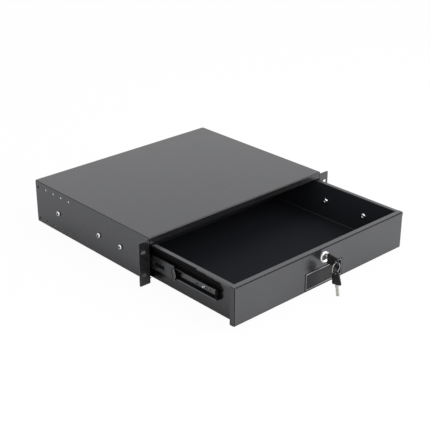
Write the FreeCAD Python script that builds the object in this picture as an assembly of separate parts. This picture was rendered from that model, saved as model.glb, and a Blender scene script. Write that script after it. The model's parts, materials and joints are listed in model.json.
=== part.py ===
import FreeCAD, Part
import math
import os

Vector = FreeCAD.Vector

# Sliding rack drawer, two rack units high, drawn with the drawer pulled out.
# X runs across the rack, Y from the front to the back, Z up.
# The origin is the centre of the four ear slots, in the front plane of the ears.

# Rack ears
rack_width = 482.6
ear_height = 84.0
ear_corner = 2.5
ear_slot_spacing = 465.1
ear_slot_pitch = 44.45
ear_slot_width = 6.8
ear_slot_length = 10.0

# Chassis
chassis_width = 436.8
chassis_depth = 349.0
chassis_height = 88.9
chassis_drop = 0.9
side_sheet = 1.5
side_flange = 12.0
cover_sheet = 1.2
bend_radius = 0.8
corner_relief = 3.0
floor_flange_setback = 14.0
front_lip_height = 14.0
front_lip_return = 19.5
rear_lip_height = 20.0
rear_tab_length = 13.0
tab_overrun = 6.0
brace_height = 14.5
brace_flange = 11.0
brace_gap = 0.3
brace_inset = 2.0
brace_tab_gap = 1.0
sheet_gap = 0.2

# Holes for rear supports, in two rows of four on each side
support_hole_radius = 2.4
support_hole_pitch = 25.0
support_hole_count = 4
support_row_spacing = 66.0
support_hole_setback = 33.0

# Drawer
panel_width = 431.1
panel_height = 71.3
panel_sheet = 1.5
panel_flange = 10.0
ground_gap = 2.9
opening = 209.0
travel = 250.0
tray_sheet = 1.2
tray_depth = 303.0
tray_wall_gap = 11.7
rim_lip = 3.2
rim_inset = 0.4
weld_flange = 8.0
weld_setback = 4.0
panel_top_fold = 7.5
nose_gap = 0.1

# Ball slides, one on each side, in three sections
slide_length = 250.0
slide_setback = 45.0
slide_height = -1.8
outer_rail_height = 35.3
outer_rail_depth = 8.6
rail_sheet = 1.2
middle_rail_offset = 2.6
middle_rail_depth = 7.7
inner_lip_reach = 7.4
rail_lip = 1.7
ball_diameter = 3.0
ball_clearance = 0.05
ball_pitch = 14.0
ball_count = 7
ball_lip_gap = 0.3
cage_sheet = 0.3
cage_window = 0.15
cage_margin = 0.25
cage_web_gap = 0.1
cage_end = 6.0
slot_length = 26.0
slot_width = 7.0
slot_setback = 37.5
release_hole_places = (20.8, 29.6)
release_hole_radius = 1.4
release_slot_place = 54.0
release_slot_drop = 1.5
release_slot_length = 7.0
release_slot_width = 2.2
rail_stop_depth = 6.0
rail_stop_gap = 0.3
clip_length = 5.0
clip_corner = 4.0
clip_margin = 0.5
bumper_length = 4.0
bumper_cap = 0.3
bumper_fit = 0.05
bumper_corner = 1.5

# Screws
slide_screw_places = (37.6, 101.6)
slide_screw_setback = 20.4
drawer_screw_places = (37.0, 133.0)
drawer_screw_setback = 21.0
screw_flats = 10
screw_radius = 2.0
screw_head_radius = 4.0
slide_screw_head_height = 3.4
drawer_screw_head_height = 2.2
screw_clearance = 0.05
drawer_screw_tip = 3.0
corner_screw_radius = 1.5
corner_screw_head = 2.9
corner_screw_head_height = 1.2
corner_screw_setback = 7.0
corner_screw_edge = 9.0
corner_screw_drop = 4.7

# Pull cup in the front panel
cup_width = 96.0
cup_height = 35.0
cup_edge = 1.0
cup_rim = 3.0
cup_rim_height = 1.0
cup_depth = 13.0
cup_wall = 1.6
cup_corner = 3.0
cup_gap = 0.2
cup_scoop_rise = 9.0
cup_scoop_radius = 6.0
cup_lip_radius = 4.0
cup_top_radius = 2.0

# Lock and keys
lock_height = 53.0
bezel_radius = 10.8
bezel_height = 2.6
bezel_taper = 2.0
barrel_radius = 9.2
barrel_length = 20.0
barrel_flat = 8.0
plug_radius = 6.2
plug_clearance = 0.06
plug_recess = 0.6
plug_tail = 6.0
plug_tail_clearance = 0.03
nut_across_flats = 24.0
nut_height = 3.0
cam_sheet = 2.0
cam_length = 28.0
cam_width = 14.0
cam_gap = 0.3
cam_taper = 1.4
cam_corner = 3.0
cam_root_corner = 6.0
cam_screw_depth = 1.5
key_sheet = 2.0
key_depth = 8.0
key_clearance = 0.2
blade_length = 17.0
keyway_end_gap = 0.8
blade_chamfer = 2.4
cut_count = 4
first_cut = 3.6
cut_pitch = 3.2
cut_width = 2.4
cut_depths = (0.8, 1.2, 1.6)
shank_length = 4.5
bow_length = 24.5
bow_width = 20.0
bow_end_width = 15.0
bow_sheet = 3.0
bow_corner = 2.0
bow_end_corner = 5.0
bow_hole_radius = 2.6
bow_hole_setback = 4.6
ring_radius = 9.8
ring_wire = 0.8
ring_chamfer = 0.47
ring_play = 0.15
spare_key_tilt = 10.0

# Sizes that follow
floor_z = -ear_height / 2 - chassis_drop
ear_bottom = -ear_height / 2
side_face = chassis_width / 2
side_inner = side_face - side_sheet
top_z = floor_z + chassis_height
side_top = top_z - cover_sheet
ear_edge = rack_width / 2
panel_front = -opening
panel_back = panel_front + panel_sheet
flange_back = panel_front + panel_flange
panel_bottom = floor_z + ground_gap
panel_top = panel_bottom + panel_height
tray_face = side_inner - tray_wall_gap
tray_inner = tray_face - tray_sheet
tray_back = flange_back + tray_depth
lock_z = panel_bottom + lock_height
bezel_front = panel_front - bezel_height
barrel_back = panel_front + barrel_length
outer_rail_front = slide_setback
middle_rail_front = slide_setback - opening / 2
inner_rail_front = slide_setback - opening
ball_radius = ball_diameter / 2
race_gap = ball_diameter + 2 * ball_clearance
middle_rail_half = outer_rail_height / 2 - rail_sheet - race_gap
inner_rail_half = middle_rail_half - rail_sheet - race_gap
outer_ball_height = middle_rail_half + race_gap / 2
inner_ball_height = inner_rail_half + race_gap / 2
outer_ball_offset = outer_rail_depth - rail_sheet - ball_radius - ball_lip_gap
middle_rail_tip = middle_rail_offset + middle_rail_depth
inner_ball_offset = middle_rail_tip - rail_sheet - ball_radius - ball_lip_gap
cage_length = (ball_count - 1) * ball_pitch + 2 * cage_end
cage_closed = outer_rail_front + (slide_length - travel / 4 - cage_length) / 2 + travel / 8

parts = {}


def box(x0, x1, y0, y1, z0, z1):
    return Part.makeBox(x1 - x0, y1 - y0, z1 - z0, Vector(x0, y0, z0))


def rod(radius, start, length, direction):
    return Part.makeCylinder(radius, length, start, direction)


def screw_rod(radius, start, length, direction):
    # small screws and their holes are cut with flats, with the flats on the given radius
    corner = radius / math.cos(math.pi / screw_flats)
    turns = [2 * math.pi * index / screw_flats for index in range(screw_flats)]
    points = [Vector(corner * math.cos(turn), corner * math.sin(turn), 0) for turn in turns]
    blank = Part.Face(Part.makePolygon(points + points[:1])).extrude(Vector(0, 0, length))
    blank.Placement = FreeCAD.Placement(start, FreeCAD.Rotation(Vector(0, 0, 1), direction))
    return blank


def united(shapes):
    shape = shapes[0].fuse(shapes[1:]) if len(shapes) > 1 else shapes[0]
    return shape.removeSplitter()


def mirrored(shape):
    return shape.mirror(Vector(0, 0, 0), Vector(1, 0, 0))


def rounded_face(corners, arcs=True):
    # corners are (a, b, radius), cut straight without arcs; the face lies in the XY plane
    points = [Vector(a, b, 0) for a, b, radius in corners]
    starts = []
    ends = []
    edges = []
    for index, (a, b, radius) in enumerate(corners):
        here = points[index]
        back = (points[index - 1] - here).normalize()
        ahead = (points[(index + 1) % len(points)] - here).normalize()
        if radius <= 0:
            starts.append(here)
            ends.append(here)
            continue
        half = back.getAngle(ahead) / 2
        first = here + back * (radius / math.tan(half))
        last = here + ahead * (radius / math.tan(half))
        middle = here + (back + ahead).normalize() * (radius / math.sin(half) - radius)
        curve = Part.Arc(first, middle, last) if arcs else Part.LineSegment(first, last)
        edges.append(curve.toShape())
        starts.append(first)
        ends.append(last)
    for index in range(len(points)):
        following = starts[(index + 1) % len(points)]
        if ends[index].distanceToPoint(following) > 1e-6:
            edges.append(Part.LineSegment(ends[index], following).toShape())
    return Part.Face(Part.Wire(Part.__sortEdges__(edges)))


def folded_face(path, sheet, bend, arcs=True):
    # a bent strip of sheet about its middle line, eased inside and outside each bend
    points = [Vector(a, b, 0) for a, b in path]
    runs = [(points[i + 1] - points[i]).normalize() for i in range(len(points) - 1)]
    sides = {1: [], -1: []}
    for index, point in enumerate(points):
        before = runs[max(index - 1, 0)]
        after = runs[min(index, len(runs) - 1)]
        normal_before = Vector(-before.y, before.x, 0)
        normal_after = Vector(-after.y, after.x, 0)
        miter = (normal_before + normal_after) * (1 / (1 + normal_before.dot(normal_after)))
        turn = before.cross(after).z
        for side in sides:
            place = point + miter * (side * sheet / 2)
            radius = 0 if abs(turn) < 1e-6 else (bend if side * turn > 0 else bend + sheet)
            sides[side].append((place.x, place.y, radius))
    return rounded_face(sides[1] + sides[-1][::-1], arcs)


def run_along_y(face, y0, y1):
    # the face's first axis becomes X and its second becomes Z
    solid = face.extrude(Vector(0, 0, y0 - y1))
    solid.rotate(Vector(0, 0, 0), Vector(1, 0, 0), 90)
    solid.translate(Vector(0, y0, 0))
    return solid


def run_along_x(face, x0, x1):
    # the face's first axis becomes Y and its second becomes Z
    solid = face.extrude(Vector(0, 0, x1 - x0))
    solid.rotate(Vector(0, 0, 0), Vector(1, 1, 1), 120)
    solid.translate(Vector(x0, 0, 0))
    return solid


def run_along_z(face, z0, z1):
    solid = face.extrude(Vector(0, 0, z1 - z0))
    solid.translate(Vector(0, 0, z0))
    return solid


def slot_along_x(x, z, length, width, y0, y1):
    half = (length - width) / 2
    ends = [rod(width / 2, Vector(x + side * half, y0, z), y1 - y0, Vector(0, 1, 0)) for side in (-1, 1)]
    middle = box(x - half, x + half, y0, y1, z - width / 2, z + width / 2)
    return united(ends + [middle])


def slot_along_y(y, z, length, width, x0, x1):
    half = (length - width) / 2
    ends = [rod(width / 2, Vector(x0, y + side * half, z), x1 - x0, Vector(1, 0, 0)) for side in (-1, 1)]
    middle = box(x0, x1, y - half, y + half, z - width / 2, z + width / 2)
    return united(ends + [middle])


# Chassis

def corner_screw_heights():
    return (floor_z + corner_screw_edge, top_z - corner_screw_edge - corner_screw_drop)


def corner_screw_y():
    return chassis_depth - corner_screw_setback


def support_hole_places():
    first = chassis_depth - support_hole_setback
    rows = (-support_row_spacing / 2, support_row_spacing / 2)
    return [(first - index * support_hole_pitch, z) for z in rows for index in range(support_hole_count)]


def slide_screw_places_y():
    return [outer_rail_front + place for place in (*slide_screw_places, slide_length - slide_screw_setback)]


def drawer_screw_places_y():
    places = (*drawer_screw_places, slide_length - drawer_screw_setback)
    return [inner_rail_front + place for place in places]


def side_panel():
    # the right-hand panel: a channel with its flanges turned in and the rack ear turned out
    half = side_sheet / 2
    edge = side_face - half
    tip = side_inner - side_flange
    low = floor_z + half
    high = side_top - half
    section = [(tip, low), (edge, low), (edge, high), (tip, high)]
    profile = folded_face(section, side_sheet, bend_radius)
    channel = run_along_y(profile, corner_relief, chassis_depth - corner_relief)
    fold = bend_radius + side_sheet
    channel = channel.cut(box(0, side_inner, 0, floor_flange_setback, floor_z - 1, floor_z + fold))
    web = run_along_y(profile, fold, chassis_depth)
    web = web.common(box(side_inner, side_face, fold, chassis_depth, floor_z, side_top))
    ear_top = ear_height / 2
    plan = folded_face([(edge, corner_relief + fold), (edge, half), (ear_edge, half)],
                       side_sheet, bend_radius)
    ear = run_along_z(plan, ear_bottom, ear_top)
    rounding = rounded_face([(side_inner - 1, ear_bottom, 0), (ear_edge, ear_bottom, ear_corner),
                             (ear_edge, ear_top, ear_corner), (side_inner - 1, ear_top, 0)])
    ear = ear.common(run_along_y(rounding, -1, corner_relief + fold + 1))
    panel = united([web, channel, ear])
    cuts = [rod(support_hole_radius, Vector(side_inner - 1, y, z), side_sheet + 2, Vector(1, 0, 0))
            for y, z in support_hole_places()]
    screw_holes = [(screw_radius + screw_clearance, y, slide_height) for y in slide_screw_places_y()]
    screw_holes += [(corner_screw_radius + screw_clearance, corner_screw_y(), z)
                    for z in corner_screw_heights()]
    cuts += [screw_rod(radius, Vector(side_inner - 1, y, z), side_sheet + 2, Vector(1, 0, 0))
             for radius, y, z in screw_holes]
    cuts += [slot_along_x(ear_slot_spacing / 2, side * ear_slot_pitch / 2, ear_slot_length, ear_slot_width,
                          -1, side_sheet + 1) for side in (-1, 1)]
    return panel.cut(cuts)


def corner_tab(x_end, sheet, z0, z1, screw_z):
    # an end tab folded forward from a rear cross piece and screwed to the side panel
    back = chassis_depth - sheet / 2
    side = x_end - sheet / 2
    plan = [(side - rear_tab_length, back), (side, back), (side, back - rear_tab_length)]
    tab = run_along_z(folded_face(plan, sheet, bend_radius), z0, z1)
    start = Vector(x_end - sheet - 1, corner_screw_y(), screw_z)
    hole = screw_rod(corner_screw_radius + screw_clearance, start, sheet + 2, Vector(1, 0, 0))
    return tab.cut(hole)


def top_cover():
    half = cover_sheet / 2
    lip_bottom = top_z - front_lip_height
    section = [(front_lip_return, lip_bottom + half), (half, lip_bottom + half), (half, top_z - half),
               (chassis_depth - half, top_z - half), (chassis_depth - half, top_z - rear_lip_height)]
    reach = side_inner - sheet_gap
    profile = folded_face(section, cover_sheet, bend_radius)
    strip = run_along_x(profile, -reach, reach)
    brow = run_along_x(profile, -side_face, side_face)
    brow = brow.common(box(-side_face, side_face, -1, bend_radius + cover_sheet,
                           ear_height / 2 + sheet_gap, top_z))
    fold = bend_radius + cover_sheet
    plate = box(-side_face, side_face, fold, chassis_depth - fold, top_z - cover_sheet, top_z)
    screw_z = corner_screw_heights()[1]
    tab = corner_tab(reach, cover_sheet, top_z - rear_lip_height,
                     screw_z + tab_overrun, screw_z)
    return united([plate, strip, brow, tab, mirrored(tab)])


def rear_brace():
    half = side_sheet / 2
    bottom = floor_z + side_sheet + brace_gap
    top = bottom + brace_height
    section = [(chassis_depth - brace_flange, top - half), (chassis_depth - half, top - half),
               (chassis_depth - half, bottom)]
    reach = side_inner - sheet_gap
    end = reach - brace_inset
    strip = run_along_x(folded_face(section, side_sheet, bend_radius), -end, end)
    screw_z = corner_screw_heights()[0]
    tab = corner_tab(reach, side_sheet, bottom, top - side_sheet - brace_tab_gap, screw_z)
    return united([strip, tab, mirrored(tab)])


def corner_screws(tab_sheets):
    screws = []
    for z, sheet in zip(corner_screw_heights(), tab_sheets):
        shank = screw_rod(corner_screw_radius, Vector(side_inner - sheet_gap - sheet, corner_screw_y(), z),
                    side_sheet + sheet_gap + sheet, Vector(1, 0, 0))
        head = screw_rod(corner_screw_head, Vector(side_face, corner_screw_y(), z), corner_screw_head_height,
                   Vector(1, 0, 0))
        screw = united([shank, head])
        screws += [screw, mirrored(screw)]
    return Part.makeCompound(screws)


# Ball slides, drawn on the left side from the chassis wall inwards, then mirrored

def at_left(offset):
    return -side_inner + offset


def rail(section, sheet, front, length):
    places = [(at_left(offset), height) for offset, height in section]
    return run_along_y(folded_face(places, sheet, bend_radius / 2, arcs=False), front, front + length)


def channel_section(web, tip, half_height, sheet, lip):
    # a channel with its open side at the tip and its lips turned by the given height
    middle = half_height - sheet / 2
    section = [(tip - sheet / 2, middle - lip), (tip - sheet / 2, middle), (web + sheet / 2, middle)]
    return section + [(offset, -height) for offset, height in reversed(section)]


def screw_hole(y, offset, sheet, radius):
    return screw_rod(radius, Vector(at_left(offset) - 1, y, 0), sheet + 2, Vector(1, 0, 0))


def web_slot(y, offset, sheet):
    return slot_along_y(y, 0, slot_length, slot_width, at_left(offset) - 1, at_left(offset) + sheet + 1)


def outer_rail():
    section = channel_section(0, outer_rail_depth, outer_rail_height / 2, rail_sheet, rail_lip)
    shape = rail(section, rail_sheet, outer_rail_front, slide_length)
    cuts = [screw_hole(y, 0, rail_sheet, screw_radius + screw_clearance) for y in slide_screw_places_y()]
    middle_of_slot = (slide_screw_places_y()[1] + slide_screw_places_y()[2]) / 2
    cuts.append(web_slot(middle_of_slot, 0, rail_sheet))
    return shape.cut(cuts)


def middle_rail():
    section = channel_section(middle_rail_offset, middle_rail_tip, middle_rail_half, rail_sheet, rail_lip)
    shape = rail(section, rail_sheet, middle_rail_front, slide_length)
    places = (slot_setback, slide_length / 2, slide_length - slot_setback)
    cuts = [web_slot(middle_rail_front + place, middle_rail_offset, rail_sheet) for place in places]
    return shape.cut(cuts)


def inner_rail():
    # the lips turn outwards at the tip and keep the balls on the flanges
    web = tray_wall_gap - rail_sheet / 2
    flange = inner_rail_half - rail_sheet / 2
    tip = tray_wall_gap - inner_lip_reach + rail_sheet / 2
    section = [(tip, flange + rail_lip), (tip, flange), (web, flange)]
    section = section + [(offset, -height) for offset, height in reversed(section)]
    shape = rail(section, rail_sheet, inner_rail_front, slide_length)
    start = tray_wall_gap - rail_sheet
    cuts = [screw_hole(y, start, rail_sheet, screw_radius + screw_clearance)
            for y in drawer_screw_places_y()]
    cuts += [screw_hole(inner_rail_front + place, start, rail_sheet, release_hole_radius)
             for place in release_hole_places]
    cuts.append(slot_along_y(inner_rail_front + release_slot_place, -release_slot_drop, release_slot_length,
                             release_slot_width, at_left(start) - 1, at_left(start) + rail_sheet + 1))
    return shape.cut(cuts)


def faceted_ball(radius):
    # a ball cut with twelve flats, with its corners on the true diameter
    half = radius / math.sqrt(2)
    bars = []
    for axis in (Vector(1, 0, 0), Vector(0, 1, 0), Vector(0, 0, 1)):
        bar = box(-half, half, -half, half, -radius, radius)
        bar.rotate(Vector(0, 0, 0), Vector(0, 0, 1), 45)
        turn = FreeCAD.Rotation(Vector(0, 0, 1), axis)
        bar.Placement = FreeCAD.Placement(Vector(0, 0, 0), turn).multiply(bar.Placement)
        bars.append(bar)
    return bars[0].common(bars[1]).common(bars[2])


def ball_places(start):
    return [start + cage_end + index * ball_pitch for index in range(ball_count)]


def balls(offset, height, start):
    pattern = faceted_ball(ball_radius)
    made = []
    for y in ball_places(start):
        for side in (-1, 1):
            ball = pattern.copy()
            ball.translate(Vector(at_left(offset), y, side * height))
            made.append(ball)
    return Part.makeCompound(made)


def cage(web, tip, height, ball_offset, start):
    half = cage_sheet / 2
    section = [(at_left(tip), height), (at_left(web + half), height),
               (at_left(web + half), -height), (at_left(tip), -height)]
    shape = run_along_y(folded_face(section, cage_sheet, cage_sheet, arcs=False), start, start + cage_length)
    reach = ball_radius + cage_window
    x = at_left(ball_offset)
    cuts = []
    for y in ball_places(start):
        for side in (-1, 1):
            middle = side * height
            cuts.append(box(x - reach, x + reach, y - reach, y + reach,
                            middle - cage_sheet, middle + cage_sheet))
    return shape.cut(cuts)


def outer_cage():
    web = rail_sheet + (middle_rail_offset - rail_sheet - cage_sheet) / 2
    tip = outer_ball_offset + ball_radius + cage_margin
    return cage(web, tip, outer_ball_height, outer_ball_offset, cage_closed - opening / 4)


def inner_cage():
    web = middle_rail_offset + rail_sheet + cage_web_gap
    tip = inner_ball_offset + ball_radius + cage_margin
    return cage(web, tip, inner_ball_height, inner_ball_offset, cage_closed - opening * 3 / 4)


def outer_rail_bumper():
    # a soft stop behind the outer rail
    back = outer_rail_front + slide_length
    half = outer_rail_height / 2 - rail_sheet - rail_stop_gap
    return box(at_left(0), at_left(outer_rail_depth), back, back + rail_stop_depth, -half, half)


def middle_rail_bumper():
    # a moulded clip over the front end of the web, with a bowed nose
    half = middle_rail_half - clip_margin
    tip = middle_rail_front - clip_length
    nose = rounded_face([(tip, -half, clip_corner), (middle_rail_front, -half, 0),
                         (middle_rail_front, half, 0), (tip, half, clip_corner)])
    return run_along_x(nose, at_left(middle_rail_offset), at_left(middle_rail_offset + rail_sheet))


def bumper_section(half, tip, web, edge_radius):
    return rounded_face([(at_left(tip), -half, bumper_corner), (at_left(web), -half, edge_radius),
                         (at_left(web), half, edge_radius), (at_left(tip), half, bumper_corner)])


def inner_rail_bumper():
    # the block that closes the front end of the inner rail, with a cap in front of its edges
    tip = tray_wall_gap - inner_lip_reach + rail_stop_gap
    web = tray_wall_gap - rail_sheet
    plug = bumper_section(inner_rail_half - rail_sheet - bumper_fit, tip, web, bend_radius)
    cap = bumper_section(inner_rail_half + bumper_cap, tip, tray_wall_gap, 0)
    front = inner_rail_front - bumper_length
    return united([run_along_y(plug, front, inner_rail_front + bumper_length),
                   run_along_y(cap, front, inner_rail_front)])


def slide_screws():
    made = []
    for y in slide_screw_places_y():
        shank = screw_rod(screw_radius, Vector(-side_face, y, 0), side_sheet + rail_sheet, Vector(1, 0, 0))
        head = pan_head(Vector(-side_face, y, 0), slide_screw_head_height, Vector(-1, 0, 0))
        made.append(united([shank, head]))
    return Part.makeCompound(made)


def drawer_screws():
    made = []
    for y in drawer_screw_places_y():
        start = Vector(-tray_inner, y, 0)
        shank = screw_rod(screw_radius, start, tray_sheet + rail_sheet + drawer_screw_tip, Vector(-1, 0, 0))
        made.append(united([shank, pan_head(start, drawer_screw_head_height, Vector(1, 0, 0))]))
    return Part.makeCompound(made)


def pan_head(seat, height, direction):
    return screw_rod(screw_head_radius, seat, height, direction)


# Drawer

def tray():
    half = tray_sheet / 2
    wall = tray_face - half
    rim_edge = panel_width / 2 - rim_inset - half
    base = panel_bottom + half
    rim = panel_top - half
    right = [(rim_edge, panel_top - rim_lip), (rim_edge, rim), (wall, rim), (wall, base)]
    section = right + [(-x, z) for x, z in reversed(right)]
    body = run_along_y(folded_face(section, tray_sheet, bend_radius), flange_back + sheet_gap, tray_back)
    nose_top = panel_top - panel_sheet - bend_radius - nose_gap
    low = [(wall, nose_top), (wall, base), (-wall, base), (-wall, nose_top)]
    nose = run_along_y(folded_face(low, tray_sheet, bend_radius), panel_back, flange_back + sheet_gap)
    plan = [(wall, flange_back), (wall, panel_back + half), (wall + weld_flange, panel_back + half)]
    side_weld = run_along_z(folded_face(plan, tray_sheet, bend_radius), panel_bottom + weld_setback,
                            panel_top - panel_sheet - weld_setback)
    fold = [(flange_back, base), (panel_back + half, base), (panel_back + half, base + weld_flange)]
    low_weld = run_along_x(folded_face(fold, tray_sheet, bend_radius),
                           cup_width / 2 + weld_setback, wall - weld_setback)
    shape = united([body, nose, side_weld, mirrored(side_weld), low_weld, mirrored(low_weld)])
    radius = screw_radius + screw_clearance
    holes = [screw_rod(radius, Vector(x - 1, y, slide_height), tray_sheet + 2, Vector(1, 0, 0))
             for y in drawer_screw_places_y() for x in (-tray_face, tray_inner)]
    return shape.cut(holes)


def tray_rear():
    # the rear wall, welded in between the folded sides
    low = panel_bottom + tray_sheet
    face = rounded_face([(-tray_inner, low, bend_radius), (tray_inner, low, bend_radius),
                         (tray_inner, panel_top - tray_sheet, 0), (-tray_inner, panel_top - tray_sheet, 0)])
    return run_along_y(face, tray_back - tray_sheet, tray_back)


def front_panel():
    half = panel_sheet / 2
    edge = panel_width / 2 - half
    front = panel_front + half
    plan = [(edge, flange_back), (edge, front), (-edge, front), (-edge, flange_back)]
    pan = run_along_z(folded_face(plan, panel_sheet, bend_radius), panel_bottom, panel_top - bend_radius)
    fold = [(flange_back, panel_top - half), (front, panel_top - half), (front, panel_top - panel_top_fold)]
    shelf = run_along_x(folded_face(fold, panel_sheet, bend_radius), -panel_width / 2 + bend_radius,
                        panel_width / 2 - bend_radius)
    panel = united([pan, shelf])
    opening_half = cup_width / 2 - cup_rim
    bottom = panel_bottom + cup_edge + cup_rim
    cup_hole = box(-opening_half, opening_half, panel_front - 1, panel_back + 1, bottom,
                   bottom + cup_height - 2 * cup_rim)
    lock_hole = rod(barrel_radius + sheet_gap, Vector(0, panel_front - 1, lock_z), panel_sheet + 2,
                    Vector(0, 1, 0))
    return panel.cut([cup_hole, lock_hole])


def pull_cup():
    # a flush moulded cup: a thin rim on the panel and a scooped pocket with a finger edge above
    low = panel_bottom + cup_edge
    high = low + cup_height
    half_width = cup_width / 2
    face = rounded_face([(-half_width, low, cup_corner), (half_width, low, cup_corner),
                         (half_width, high, cup_corner), (-half_width, high, cup_corner)])
    rim = run_along_y(face, panel_front - cup_rim_height, panel_front)
    outer = box(-half_width + cup_rim + cup_gap, half_width - cup_rim - cup_gap, panel_front,
                panel_front + cup_depth, low + cup_rim + cup_gap, high - cup_rim - cup_gap)
    wall = cup_rim + cup_gap + cup_wall
    mouth = panel_front - cup_rim_height
    deep = panel_front + cup_depth - cup_wall
    scoop = rounded_face([(mouth - 1, low + wall, 0), (mouth + cup_wall, low + wall, cup_lip_radius),
                          (deep, low + wall + cup_scoop_rise, cup_scoop_radius),
                          (deep, high - wall, cup_top_radius), (mouth - 1, high - wall, 0)])
    pocket = run_along_x(scoop, -half_width + wall, half_width - wall)
    return united([rim, outer]).cut(pocket)


# Lock, cam and keys

def lock_barrel():
    seat = Vector(0, panel_front, lock_z)
    body = rod(barrel_radius, seat, barrel_length, Vector(0, 1, 0))
    flats = box(-barrel_flat, barrel_flat, panel_front, barrel_back,
                lock_z - barrel_radius, lock_z + barrel_radius)
    bezel = Part.makeCone(bezel_radius, bezel_radius - bezel_taper, bezel_height, seat, Vector(0, -1, 0))
    bore = rod(plug_radius + plug_clearance, Vector(0, bezel_front - 1, lock_z),
               barrel_length + bezel_height + 2, Vector(0, 1, 0))
    return united([body.common(flats), bezel]).cut(bore)


def lock_nut():
    corner_radius = nut_across_flats / math.sqrt(3)
    turns = [math.radians(60 * index) for index in range(7)]
    flats = [Vector(corner_radius * math.cos(turn), panel_back, lock_z + corner_radius * math.sin(turn))
             for turn in turns]
    blank = Part.Face(Part.makePolygon(flats)).extrude(Vector(0, nut_height, 0))
    return blank.cut(rod(barrel_radius + screw_clearance, Vector(0, panel_front, lock_z),
                         barrel_length, Vector(0, 1, 0)))


def lock_plug():
    front = bezel_front + plug_recess
    plug = rod(plug_radius, Vector(0, front, lock_z), barrel_back - front, Vector(0, 1, 0))
    half = plug_tail / 2
    tail = box(-half, half, barrel_back, barrel_back + cam_gap + cam_sheet, lock_z - half, lock_z + half)
    keyway_width = key_sheet / 2 + key_clearance
    keyway_depth = key_depth / 2 + key_clearance
    keyway = box(-keyway_width, keyway_width, bezel_front, bezel_front + blade_length + keyway_end_gap,
                 lock_z - keyway_depth, lock_z + keyway_depth)
    screw = screw_rod(screw_radius, Vector(0, barrel_back - cam_screw_depth - screw_clearance, lock_z),
                plug_tail * 2, Vector(0, 1, 0))
    return united([plug, tail]).cut([keyway, screw])


def lock_cam():
    # at rest the cam points sideways, clear of the chassis lip
    half = cam_width / 2
    tip = half - cam_taper
    front = barrel_back + cam_gap
    face = rounded_face([(-half, lock_z - half, cam_root_corner), (cam_length, lock_z - tip, cam_corner),
                         (cam_length, lock_z + tip, cam_corner), (-half, lock_z + half, cam_root_corner)])
    plate = run_along_y(face, front, front + cam_sheet)
    hole = plug_tail / 2 + plug_tail_clearance
    return plate.cut(box(-hole, hole, front - 1, front + cam_sheet + 1, lock_z - hole, lock_z + hole))


def cam_screw():
    seat = barrel_back + cam_gap + cam_sheet
    start = barrel_back - cam_screw_depth
    shank = screw_rod(screw_radius - screw_clearance, Vector(0, start, lock_z), seat - start,
                      Vector(0, 1, 0))
    return united([shank, pan_head(Vector(0, seat, lock_z), drawer_screw_head_height, Vector(0, 1, 0))])


def key_parts():
    # drawn from the tip of the blade, in the plane Z = 0, about the key's own axis
    shoulder = blade_length + shank_length
    edge = key_depth / 2
    outline = [(0, edge - blade_chamfer, 0), (blade_chamfer, edge, 0)]
    for index in range(cut_count):
        start = first_cut + index * cut_pitch
        depth = cut_depths[index % len(cut_depths)]
        outline += [(start, edge, 0), (start + cut_width / 2, edge - depth, 0), (start + cut_width, edge, 0)]
    outline += [(shoulder, edge, 0), (shoulder, -edge, 0)]
    outline += [(blade_chamfer, -edge, 0), (0, blade_chamfer - edge, 0)]
    blade = run_along_z(rounded_face(outline), -key_sheet / 2, key_sheet / 2)
    end = shoulder + bow_length
    face = rounded_face([(shoulder, -bow_width / 2, bow_corner), (end, -bow_end_width / 2, bow_end_corner),
                         (end, bow_end_width / 2, bow_end_corner), (shoulder, bow_width / 2, bow_corner)])
    bow = run_along_z(face, -bow_sheet / 2, bow_sheet / 2)
    hole = rod(bow_hole_radius, Vector(end - bow_hole_setback, 0, -bow_sheet),
               2 * bow_sheet, Vector(0, 0, 1))
    return blade, bow.cut(hole)


def key_in_lock():
    blade, bow = key_parts()
    tip = bezel_front + blade_length
    for shape in (blade, bow):
        # the key's length runs to the front and its depth stands upright
        turn = FreeCAD.Rotation(Vector(0, -1, 0), Vector(0, 0, 1), Vector(-1, 0, 0))
        shape.Placement = FreeCAD.Placement(Vector(0, tip, lock_z), turn).multiply(shape.Placement)
    return blade, bow


def key_hole_y():
    return bezel_front - shank_length - bow_length + bow_hole_setback


def ring_top_z():
    return lock_z - bow_hole_radius + ring_wire + ring_play


def key_ring():
    # a spring ring of flat wire with broken corners
    half = ring_wire
    cut = ring_chamfer
    section = [(half - cut, half), (half, half - cut), (half, cut - half), (half - cut, -half),
               (cut - half, -half), (-half, cut - half), (-half, half - cut), (cut - half, half)]
    middle = Vector(0, key_hole_y(), ring_top_z() - ring_radius)
    corners = [middle + Vector(ring_radius + a, b, 0) for a, b in section]
    wire = Part.makePolygon(corners + corners[:1])
    return Part.Face(wire).revolve(middle, Vector(0, 1, 0), 360)


def spare_key():
    # the second key hangs from the ring with its blade down
    blade, bow = key_parts()
    hole = blade_length + shank_length + bow_length - bow_hole_setback
    hole_z = ring_top_z() - 2 * ring_radius - bow_hole_radius + ring_wire + ring_play
    for shape in (blade, bow):
        turn = FreeCAD.Rotation(Vector(0, 0, 1), Vector(0, 1, 0), Vector(-1, 0, 0))
        place = FreeCAD.Placement(Vector(0, key_hole_y(), hole_z - hole), turn)
        shape.Placement = place.multiply(shape.Placement)
        ring_bottom = Vector(0, key_hole_y(), ring_top_z() - 2 * ring_radius)
        shape.rotate(ring_bottom, Vector(1, 0, 0), -spare_key_tilt)
    return blade, bow


def add(name, shape):
    parts[name] = shape


def add_pair(name, left_shape):
    # the slides' own parts are drawn about Z = 0
    left_shape.translate(Vector(0, 0, slide_height))
    add("left_" + name, left_shape)
    add("right_" + name, mirrored(left_shape))


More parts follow.
